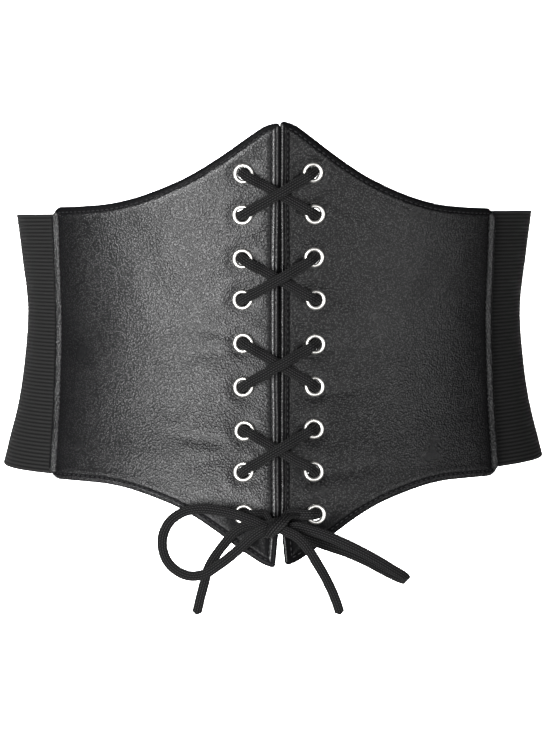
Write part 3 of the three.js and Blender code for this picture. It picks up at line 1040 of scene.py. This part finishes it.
for side, sheet in sheets.items():
    apply_modifier(
        sheet, "SOLIDIFY", thickness=LEATHER * FULLEST, offset=0, vertex_group="thickness",
        thickness_vertex_group=0, use_even_offset=True, use_rim=True, material_offset=1,
    )
    cutter = punches(side)
    apply_modifier(sheet, "BOOLEAN", object=cutter, operation="DIFFERENCE", solver="EXACT")
    bpy.data.objects.remove(cutter)
    only(sheet)
    bpy.ops.object.shade_smooth()
    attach(sheet, "root")
    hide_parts("panel_" + PANEL_NAMES[side])
    report(sheet)

# %% [markdown]
# ## Stitches
#
# The edges are sewn with thick black thread, one stitch about every three millimetres. A stitch is a
# small grain of thread that dives into the leather at both ends. One is shaped from a sphere, and copies
# of its mesh are laid along each sewn line and joined.

# %% One stitch, along X and 1 long
STITCH_PITCH = 2.7 * MM
STITCH_LENGTH = 2.1 * MM
THREAD = 0.6 * MM
SEWN_IN = 2.5 * MM
FRONT_SEWN_IN = 3.65 * MM
STITCH_DIP = 0.35 * MM
SEAM_POINTS = 160

bpy.ops.object.select_all(action="DESELECT")
bpy.ops.mesh.primitive_uv_sphere_add(segments=8, ring_count=7, radius=0.5, rotation=(0, math.pi / 2, 0))
bpy.ops.object.transform_apply(rotation=True)
grain = bpy.context.object
GRAIN_POINTS = [vertex.co.copy() for vertex in grain.data.vertices]
GRAIN_FACES = [tuple(face.vertices) for face in grain.data.polygons]
bpy.data.objects.remove(grain)
print("one stitch has", len(GRAIN_FACES), "faces")


# %% The sewn lines of a panel
def sewn_lines(panel):
    """Runs and heights of points along the four sewn lines, front, top, side and bottom."""
    def level(run, which, inwards):
        return panel.heights(run)[which] + (-inwards if which else inwards) / panel.slopes(run)[which]

    front, beside = FRONT_SEWN_IN, panel.length - SEWN_IN * BESIDE_WIDER
    shares = [k / SEAM_POINTS for k in range(SEAM_POINTS + 1)]
    runs = [mix(front, beside, share) for share in shares]
    top = [(run, level(run, 1, SEWN_IN)) for run in runs]
    bottom = [(run, level(run, 0, SEWN_IN)) for run in runs]
    return [
        top,
        bottom,
        [(front, mix(bottom[0][1], top[0][1], share)) for share in shares],
        [(beside, mix(bottom[-1][1], top[-1][1], share)) for share in shares],
    ]


def sew(panel):
    """Lays a stitch at every pitch of each sewn line and joins them all in one mesh."""
    points, faces = [], []
    for line in sewn_lines(panel):
        places = [sheet_point(panel, run, z) for run, z in line]
        spots = [(middle + normal * full * LEATHER / 2, normal) for middle, normal, full in places]
        route, length = even_steps(spots, STITCH_PITCH)
        for (start, normal), (end, _) in zip(route, route[1:]):
            run = (end - start).normalized()
            across = normal.cross(run).normalized()
            middle = (start + end) / 2
            first = len(points)
            for spot in GRAIN_POINTS:
                dip = STITCH_DIP * (2 * spot.x) ** 2
                points.append(
                    middle + run * spot.x * STITCH_LENGTH + across * spot.y * THREAD
                    + normal * (spot.z * THREAD + THREAD / 4 - dip)
                )
            faces += [tuple(first + corner for corner in face) for face in GRAIN_FACES]
    mesh = bpy.data.meshes.new("stitches_" + PANEL_NAMES[panel.side])
    mesh.from_pydata(points, [], faces)
    stitches = bpy.data.objects.new(mesh.name, mesh)
    bpy.context.scene.collection.objects.link(stitches)
    only(stitches)
    bpy.ops.object.shade_smooth()
    return stitches


stitches = {side: sew(panel) for side, panel in panels.items()}
for side, seam in stitches.items():
    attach(seam, "root")
    print(seam.name, len(seam.data.polygons) // len(GRAIN_FACES), "stitches")

# %% [markdown]
# ## The ribbed elastic
#
# The back is a wide woven elastic. Rubber threads pull the weave into ribs that run round the body. The
# band is a grid bent round the back of the figure with four rows to each rib, and Solidify makes it
# thinner in the grooves between the ribs. It is sewn under the panels at both sides.

# %% The band's sizes
ELASTIC = 1.4 * MM
ELASTIC_TOP = 47.8 * MM
ELASTIC_BOTTOM = 75 * MM
ELASTIC_TOP_TILT = 1 * MM
ELASTIC_BOTTOM_TILT = 1.85 * MM
SEWN_UNDER = 9 * MM
RIB_PITCH = 1.75 * MM
ROWS_A_RIB = 4
GROOVE_FULL = 0.55
RIB_FLATNESS = 0.6
BAND_COLUMNS = 96


def rib_share(row):
    """1 on a rib, 0 in the groove between two ribs."""
    return 0.5 - 0.5 * math.cos(2 * math.pi * (row % ROWS_A_RIB) / ROWS_A_RIB)


# %% The band
RIBS = round((ELASTIC_TOP + ELASTIC_BOTTOM) / RIB_PITCH)
band, shares = add_grid("ribbed_elastic", BAND_COLUMNS, RIBS * ROWS_A_RIB)
thick = band.vertex_groups.new(name="thickness")
ribs = []
for vertex, (across, up) in zip(band.data.vertices, shares):
    level = mix(-ELASTIC_BOTTOM, ELASTIC_TOP, up)
    start = seam_angle(REACH[1] - SEWN_UNDER, level)
    end = 2 * math.pi - seam_angle(REACH[-1] - SEWN_UNDER, level)
    angle = mix(start, end, across)
    z = level + mix(ELASTIC_BOTTOM_TILT, ELASTIC_TOP_TILT, up) * math.sin(angle)
    rib = rib_share(round(up * RIBS * ROWS_A_RIB))
    vertex.co = on_figure(angle, z, -ELASTIC / 2)
    thick.add([vertex.index], mix(GROOVE_FULL, 1, rib**RIB_FLATNESS), "REPLACE")
    ribs.append(rib)
band.data.attributes.new("rib", "FLOAT", "POINT").data.foreach_set("value", ribs)
band_length = sum(
    (on_figure(math.radians(a + 1), 0, 0) - on_figure(math.radians(a), 0, 0)).length for a in range(50, 310)
)
scale_map(band, band_length, ELASTIC_TOP + ELASTIC_BOTTOM)
face_out(band)
apply_modifier(
    band, "SOLIDIFY", thickness=ELASTIC, offset=0, vertex_group="thickness", thickness_vertex_group=0,
    use_even_offset=True,
)
only(band)
bpy.ops.object.shade_smooth()
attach(band, "root")
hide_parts("elastic_band")
report(band)
print("band", round(band_length, 3), "m")

# %% [markdown]
# ## Eyelets
#
# A nickel eyelet is a stamped tube whose front is rolled over into a rim and whose back is spread over a
# washer. Its section is drawn once as a closed line and spun round the hole. The finished eyelet is
# copied to each seat, every copy with its own mesh.

# %% The eyelet's section, from the middle of its hole outwards and up
RIM_STEPS = 14
SPIN_STEPS = 48
RIM_LIP = 0.25 * MM
RIM_FLATNESS = 0.95


def eyelet_section():
    washer_top = -LEATHER - CLEARANCE
    crown = (EYELET_RADIUS + EYELET_HOLE) / 2
    half = (EYELET_RADIUS - EYELET_HOLE) / 2
    points = []
    for k in range(RIM_STEPS + 1):
        turn = math.pi * k / RIM_STEPS
        height = (RIM_HEIGHT + CLEARANCE / 4) * math.sin(turn) ** RIM_FLATNESS
        points.append((crown + half * math.cos(turn), height))
    points.append((EYELET_HOLE, washer_top - WASHER / 2))
    for k in range(RIM_STEPS // 2 + 1):
        turn = math.pi + math.pi * k / (RIM_STEPS // 2)
        points.append((crown + half * math.cos(turn), washer_top - WASHER / 2 + WASHER * math.sin(turn)))
    points.append((EYELET_RADIUS - RIM_LIP, washer_top))
    points.append((EYELET_HOLE + BARREL_WALL, washer_top))
    points.append((EYELET_HOLE + BARREL_WALL, -CLEARANCE))
    return points


# %% One eyelet, spun round Z
section = eyelet_section()
mesh = bpy.data.meshes.new("eyelet_section")
mesh.from_pydata(
    [(x, 0, z) for x, z in section], [(k, (k + 1) % len(section)) for k in range(len(section))], []
)
eyelet = bpy.data.objects.new("nickel_eyelet", mesh)
bpy.context.scene.collection.objects.link(eyelet)
only(eyelet)
bpy.ops.object.mode_set(mode="EDIT")
bpy.ops.mesh.select_all(action="SELECT")
bpy.ops.mesh.spin(steps=SPIN_STEPS, angle=2 * math.pi, center=(0, 0, 0), axis=(0, 0, 1))
bpy.ops.mesh.select_all(action="SELECT")
bpy.ops.mesh.remove_doubles(threshold=0.005 * MM)
bpy.ops.mesh.normals_make_consistent(inside=False)
bpy.ops.object.mode_set(mode="OBJECT")
bpy.ops.object.shade_smooth()
# The inside of the tube is marked for the painted shade that the nickel material gives it.
painted_throat_shades = [1 if math.hypot(*vertex.co.xy) < EYELET_HOLE + 0.1 * MM else 0 for vertex in eyelet.data.vertices]
eyelet.data.attributes.new("throat", "FLOAT", "POINT").data.foreach_set("value", painted_throat_shades)
report(eyelet)

# %% Copies on the panels
eyelets = []
for side, panel_name in PANEL_NAMES.items():
    for row in range(1, ROWS + 1):
        copy = eyelet.copy()
        copy.data = eyelet.data.copy()
        copy.name = copy.data.name = f"nickel_eyelet_{panel_name}_{row}"
        bpy.context.scene.collection.objects.link(copy)
        seat = eyelet_seat(side, row)
        turn = Vector((0, 0, 1)).rotation_difference(seat.normal)
        for vertex in copy.data.vertices:
            vertex.co = seat.point + turn @ vertex.co
        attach(copy, "root")
        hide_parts(f"eyelet_{panel_name}_{row}")
        eyelets.append(copy)
bpy.data.objects.remove(eyelet)
print(len(eyelets), "eyelets")

# %% [markdown]
# ## Materials
#
# Colours are written as sRGB hex values, as read in a colour picker, and one function turns them to
# linear. One small function adds a node with its settings and its links.

# %% Helpers for materials
def linear(hex_colour):
    channels = [int(hex_colour[i:i + 2], 16) / 255 for i in (1, 3, 5)]
    return tuple(c / 12.92 if c <= 0.04045 else ((c + 0.055) / 1.055) ** 2.4 for c in channels) + (1,)


def set_inputs(tree, made, inputs):
    """Links an input that is given another node's output, and sets it to any other value."""
    for name, value in inputs.items():
        if isinstance(value, bpy.types.NodeSocket):
            tree.links.new(value, made.inputs[name])
        else:
            made.inputs[name].default_value = value


def node(tree, kind, output, given=None):
    """Adds a node and returns one output. A given name in small letters is a setting, others are inputs."""
    made = tree.nodes.new("ShaderNode" + kind)
    inputs = dict(given or {})
    for name in [name for name in inputs if str(name).islower()]:
        setattr(made, name, inputs.pop(name))
    set_inputs(tree, made, inputs)
    return made.outputs[output]


def new_material(name):
    """A material with its tree, and its shader's node."""
    material = bpy.data.materials.new(name)
    material.use_nodes = True
    return material, material.node_tree, material.node_tree.nodes["Principled BSDF"]


# %% [markdown]
# ### Bonded leather
#
# A polyurethane skin pressed with a pebble grain. It is black all through, satin, and its grain breaks
# the gloss into small sparks. The real grain is about half a millimetre wide, too fine to show, so it is
# drawn a little under a millimetre wide. The painted sheen attribute follows the edge tables and scales
# the reflection: it paints highlights on the swellings and strips that face the light and shade on the
# rolls and grooves, and it flattens the grain where the sheen is low.

# %% Black bonded leather
PEBBLE = 0.8 * MM
FINE_GRAIN = 0.4 * MM
BROAD_PATCH = 18 * MM

leather, tree, shader = new_material("bonded_leather_pressed_grain")
place = node(tree, "TexCoord", "Object")
pebbles = node(
    tree, "TexVoronoi", "Distance",
    {"feature": "SMOOTH_F1", "Vector": place, "Scale": 1 / PEBBLE, "Smoothness": 0.6, "Randomness": 1},
)
fine = node(
    tree, "TexNoise", "Fac", {"Vector": place, "Scale": 1 / FINE_GRAIN, "Detail": 3, "Roughness": 0.6}
)
broad = node(
    tree, "TexNoise", "Fac", {"Vector": place, "Scale": 1 / BROAD_PATCH, "Detail": 2, "Roughness": 0.5}
)
grain_depth = node(tree, "Math", "Value", {"operation": "MULTIPLY_ADD", 0: fine, 1: -0.6, 2: pebbles})
# The painted sheen scales the leather's reflection, which paints highlights and shade along its edges.
shine = node(tree, "Attribute", "Fac", {"attribute_name": "shine"})
grain_left = node(
    tree, "MapRange", "Result",
    {"Value": shine, "From Min": -1, "From Max": -0.2, "To Min": 0.2, "To Max": 1},
)
painted_gloss = node(
    tree, "MapRange", "Result",
    {"Value": shine, "From Min": -1, "From Max": 4, "To Min": 0.02, "To Max": 2.5},
)
rubbed = node(
    tree, "MapRange", "Result",
    {"Value": grain_depth, "From Min": -0.3, "From Max": 0.2, "To Min": 1.6, "To Max": 0.4},
)
roughness = node(
    tree, "MapRange", "Result",
    {"Value": broad, "From Min": 0.3, "From Max": 0.7, "To Min": 0.27, "To Max": 0.35},
)
set_inputs(tree, shader, {
    "Base Color": node(
        tree, "Mix", "Result",
        {"data_type": "RGBA", "Factor": broad, "A": linear("#0d0d0e"), "B": linear("#141415")},
    ),
    "Roughness": roughness,
    "Normal": node(
        tree, "Bump", "Normal",
        {"invert": True, "Height": grain_depth, "Strength": grain_left, "Distance": 0.2 * MM},
    ),
    "IOR": 1.5,
    "Specular IOR Level": node(tree, "Math", "Value", {"operation": "MULTIPLY", 0: painted_gloss, 1: rubbed}),
})

# %% [markdown]
# ### The leather's back
#
# Bonded leather is laid on a brushed knit, which shows on the inside as matt, fibrous dark cloth.

# %% Brushed knit backing
FIBRE_TUFT = 0.7 * MM

backing, tree, shader = new_material("brushed_knit_backing")
place = node(tree, "TexCoord", "Object")
fibres = node(
    tree, "TexNoise", "Fac", {"Vector": place, "Scale": 1 / FIBRE_TUFT, "Detail": 4, "Roughness": 0.7}
)
set_inputs(tree, shader, {
    "Base Color": node(
        tree, "Mix", "Result",
        {"data_type": "RGBA", "Factor": fibres, "A": linear("#171719"), "B": linear("#2b2b2e")},
    ),
    "Roughness": 0.95,
    "Normal": node(tree, "Bump", "Normal", {"Height": fibres, "Strength": 0.6, "Distance": 0.2 * MM}),
    "Sheen Weight": 0.25,
    "Sheen Roughness": 0.5,
})

# %% [markdown]
# ### Braided polyester
#
# The lace is braided from fine polyester yarns, so its ribs are made of small slanting stitches that
# meet in chevrons. It is matt black with a faint sheen. The chevrons follow the UV map, which is in
# metres along and round the lace.

# %% Braided lace
BRAID_PITCH = 1.3 * MM
RIB_WIDTH = math.pi * (LACE_WIDTH + LACE_THICK) / 2 / LACE_RIBS

braid, tree, shader = new_material("braided_polyester_lace")
place = node(tree, "TexCoord", "UV")
around = node(tree, "SeparateXYZ", "X", {0: place})
slant = node(tree, "Math", "Value", {"operation": "PINGPONG", 0: around, 1: RIB_WIDTH})
along = node(
    tree, "Math", "Value", {"operation": "ADD", 0: slant, 1: node(tree, "SeparateXYZ", "Y", {0: place})}
)
turns = node(tree, "Math", "Value", {"operation": "MULTIPLY", 0: along, 1: 2 * math.pi / BRAID_PITCH})
chevrons = node(tree, "Math", "Value", {"operation": "SINE", 0: turns})
share = node(tree, "MapRange", "Result", {"Value": chevrons, "From Min": -1, "From Max": 1})
yarn = node(
    tree, "Mix", "Result",
    {"data_type": "RGBA", "Factor": share, "A": linear("#0b0b0b"), "B": linear("#2b2b2b")},
)
# Painted highlight and shade: each rib's crest is coloured lighter and the groove between ribs near black.
turns = node(tree, "Math", "Value", {"operation": "MULTIPLY", 0: around, 1: 2 * math.pi / RIB_WIDTH})
crest = node(tree, "Math", "Value", {"operation": "COSINE", 0: turns})
rib_painted_light = node(tree, "MapRange", "Result", {"Value": crest, "From Min": -0.7, "From Max": 1})
set_inputs(tree, shader, {
    "Base Color": node(
        tree, "Mix", "Result", {"data_type": "RGBA", "Factor": rib_painted_light, "A": linear("#010102"), "B": yarn}
    ),
    "Roughness": 0.75,
    "Normal": node(tree, "Bump", "Normal", {"Height": chevrons, "Strength": 0.7, "Distance": 0.12 * MM}),
    "Specular IOR Level": 0.12,
    "Sheen Weight": 0.03,
    "Sheen Roughness": 0.4,
})

# %% [markdown]
# ### Sewing thread
#
# Bonded polyester thread is twisted tight and a little glossy.

# %% Sewing thread
TWIST_PITCH = 1.2 * MM

thread, tree, shader = new_material("bonded_polyester_thread")
place = node(tree, "TexCoord", "Object")
twist = node(
    tree, "TexWave", "Fac",
    {"bands_direction": "DIAGONAL", "Vector": place, "Scale": 1 / TWIST_PITCH, "Distortion": 1},
)
set_inputs(tree, shader, {
    "Base Color": node(
        tree, "Mix", "Result",
        {"data_type": "RGBA", "Factor": twist, "A": linear("#0c0c0d"), "B": linear("#1d1d1f")},
    ),
    "Roughness": 0.5,
    "Normal": node(tree, "Bump", "Normal", {"Height": twist, "Strength": 0.5, "Distance": 0.06 * MM}),
    "Specular IOR Level": 0.25,
})

# %% [markdown]
# ### Woven elastic
#
# Polyester yarns wrap the rubber threads. The ribs catch a little light, the grooves stay dark, and fine
# weft yarns cross them. The rib attribute says how high each point stands.

# %% Woven elastic
YARN_PITCH = 0.9 * MM
FUZZ = 0.6 * MM

woven, tree, shader = new_material("woven_ribbed_elastic")
rib = node(tree, "Attribute", "Fac", {"attribute_name": "rib"})
crest = node(tree, "MapRange", "Result", {"Value": rib, "From Min": 0.1, "From Max": 0.9})
across = node(tree, "SeparateXYZ", "X", {0: node(tree, "TexCoord", "UV")})
turns = node(tree, "Math", "Value", {"operation": "MULTIPLY", 0: across, 1: 2 * math.pi / YARN_PITCH})
yarns = node(tree, "Math", "Value", {"operation": "SINE", 0: turns})
fuzz = node(
    tree, "TexNoise", "Fac", {"Vector": node(tree, "TexCoord", "Object"), "Scale": 1 / FUZZ, "Detail": 3}
)
height = node(tree, "Math", "Value", {"operation": "MULTIPLY_ADD", 0: yarns, 1: 0.35, 2: fuzz})
# Painted highlight and shade: the ribs are coloured lighter and the grooves darker.
set_inputs(tree, shader, {
    "Base Color": node(
        tree, "Mix", "Result",
        {"data_type": "RGBA", "Factor": crest, "A": linear("#0c0c0c"), "B": linear("#252525")},
    ),
    "Roughness": 0.95,
    "Normal": node(tree, "Bump", "Normal", {"Height": height, "Strength": 0.5, "Distance": 0.12 * MM}),
    "Specular IOR Level": 0.12,
    "Sheen Weight": 0.02,
    "Sheen Roughness": 0.4,
})

# %% [markdown]
# ### Polished nickel plate
#
# Brass eyelets are plated with nickel and tumbled bright. The metal keeps the shader's own IOR. Its
# gloss varies a little where the plating is rubbed. Inside the tube the eyelet is coloured dark and not
# metallic, as painted shade.

# %% Nickel plate
RUBBED_PATCH = 1.5 * MM

nickel, tree, shader = new_material("polished_nickel_plate")
place = node(tree, "TexCoord", "Object")
rubbed = node(tree, "TexNoise", "Fac", {"Vector": place, "Scale": 1 / RUBBED_PATCH, "Detail": 3})
# Painted shade: the inside of the tube is coloured dark and dull.
throat = node(tree, "Attribute", "Fac", {"attribute_name": "throat"})
set_inputs(tree, shader, {
    "Base Color": node(
        tree, "Mix", "Result",
        {"data_type": "RGBA", "Factor": throat, "A": linear("#f2f0ec"), "B": linear("#242322")},
    ),
    "Metallic": node(tree, "Math", "Value", {"operation": "SUBTRACT", 0: 1, 1: throat}),
    "Roughness": node(
        tree, "MapRange", "Result",
        {"Value": rubbed, "From Min": 0.3, "From Max": 0.7, "To Min": 0.36, "To Max": 0.46},
    ),
    "Specular IOR Level": 0.1,
})

# %% Finishes on the pieces
def finish(piece, *materials):
    piece.data.materials.clear()
    for material in materials:
        piece.data.materials.append(material)


for lace in (lacing, knot, *strands.values()):
    finish(lace, braid)
for sheet in sheets.values():
    slots = [face.material_index for face in sheet.data.polygons]
    finish(sheet, leather, backing)
    for face, slot_index in zip(sheet.data.polygons, slots):
        face.material_index = slot_index
for seam in stitches.values():
    finish(seam, thread)
for ring in eyelets:
    finish(ring, nickel)
finish(band, woven)
print(len(bpy.data.materials), "materials")

# %% [markdown]
# ## Floor, backdrop and light
#
# The belt hangs in front of a white sweep of paper, a floor that curves up into a wall. A large soft
# light stands at the left and makes the broad sheen on that side. A weaker one fills the right. The far
# sides stay dark because nothing bright stands beside the belt. One lamp whitens the paper, and a narrow
# one behind shows the back without reaching the sides. The wall stands far off, so that the belt can be
# looked at from behind too.

# %% White sweep
FLOOR_HEIGHT = -420 * MM
SWEEP_HALF_WIDTH = 1400 * MM
SWEEP_BACK = 3400 * MM
SWEEP_RADIUS = 900 * MM
SWEEP_TOP = 2200 * MM
SWEEP_FRONT = 100 * MM
SWEEP_TURN_STEPS = 12

profile = [(SWEEP_FRONT, FLOOR_HEIGHT)]
for k in range(SWEEP_TURN_STEPS + 1):
    turn = math.pi / 2 * k / SWEEP_TURN_STEPS
    profile.append((
        SWEEP_BACK - SWEEP_RADIUS + SWEEP_RADIUS * math.sin(turn),
        FLOOR_HEIGHT + SWEEP_RADIUS * (1 - math.cos(turn)),
    ))
profile.append((SWEEP_BACK, SWEEP_TOP))
sweep, shares = add_grid("paper_sweep", 1, len(profile) - 1)
for vertex, (across, along) in zip(sweep.data.vertices, shares):
    y, z = profile[round(along * (len(profile) - 1))]
    vertex.co = (mix(-SWEEP_HALF_WIDTH, SWEEP_HALF_WIDTH, across), y, z)
only(sweep)
bpy.ops.object.shade_smooth()
sweep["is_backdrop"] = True

paper, tree, shader = new_material("white_paper")
set_inputs(tree, shader, {"Base Color": (0.9, 0.9, 0.9, 1), "Roughness": 0.9})
finish(sweep, paper)
report(sweep)


# %% Lights
def area_light(name, azimuth, elevation, distance, width, height, power, aim=(0, 0, 0), spread=180):
    """A soft panel. Azimuth 0 is the camera's side as seen from the belt, and it grows to the right."""
    turn, rise = math.radians(azimuth), math.radians(elevation)
    data = bpy.data.lights.new(name, "AREA")
    data.shape = "RECTANGLE"
    data.size, data.size_y, data.energy = width, height, power
    data.spread = math.radians(spread)
    light = bpy.data.objects.new(name, data)
    bpy.context.scene.collection.objects.link(light)
    light.location = Vector((
        distance * math.cos(rise) * math.sin(turn),
        -distance * math.cos(rise) * math.cos(turn),
        distance * math.sin(rise),
    ))
    light.rotation_euler = (Vector(aim) - light.location).to_track_quat("-Z", "Y").to_euler()
    return light


key = area_light("key_left", -29, -6, 1.6, 0.86, 1.3, 66)
area_light("fill_right", 40, -4, 2.0, 1.4, 1.3, 24)
near = area_light("right_panel_light", -20, -4, 1.8, 0.8, 1.3, 26)
area_light("sweep_light", 180, 45, 2.3, 2.4, 1.2, 170, aim=(0, 2.9, -0.4), spread=120)
area_light("back_light", 180, 20, 3, 0.5, 1.1, 90)

# %% [markdown]
# The key would glare along the right panel when that is seen from the side. Light linking names the
# pieces that a lamp falls on, so the key falls on all but that panel, which has a lamp of its own.

# %% What the lamps fall on
for light, lit in ((key, False), (near, True)):
    group = bpy.data.collections.new(light.name + "_falls_on")
    for obj in bpy.data.objects:
        if obj.type == "MESH" and (obj == sheets[1]) == lit:
            group.objects.link(obj)
    light.light_linking.receiver_collection = group

# %% The room
ROOM_LIGHT = 0.03
world = bpy.data.worlds.new("studio")
world.use_nodes = True
tree = world.node_tree
seen = node(tree, "LightPath", "Is Camera Ray")
strength = node(tree, "MapRange", "Result", {"Value": seen, "To Min": ROOM_LIGHT, "To Max": 1})
set_inputs(tree, tree.nodes["Background"], {"Color": (1, 1, 1, 1), "Strength": strength})
bpy.context.scene.world = world
bpy.context.scene.view_settings.view_transform = "Standard"

# %% [markdown]
# ## Sizes
#
# Both boxes are printed: the imported model's and the dressed belt's. The dressed belt has to
# stay the size of the imported model.

# %% Print the boxes and finish
visual_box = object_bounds()
for name, box in (("packed", cad_box), ("dressed", visual_box)):
    print(name, [[round(value / MM, 1) for value in corner] for corner in box])
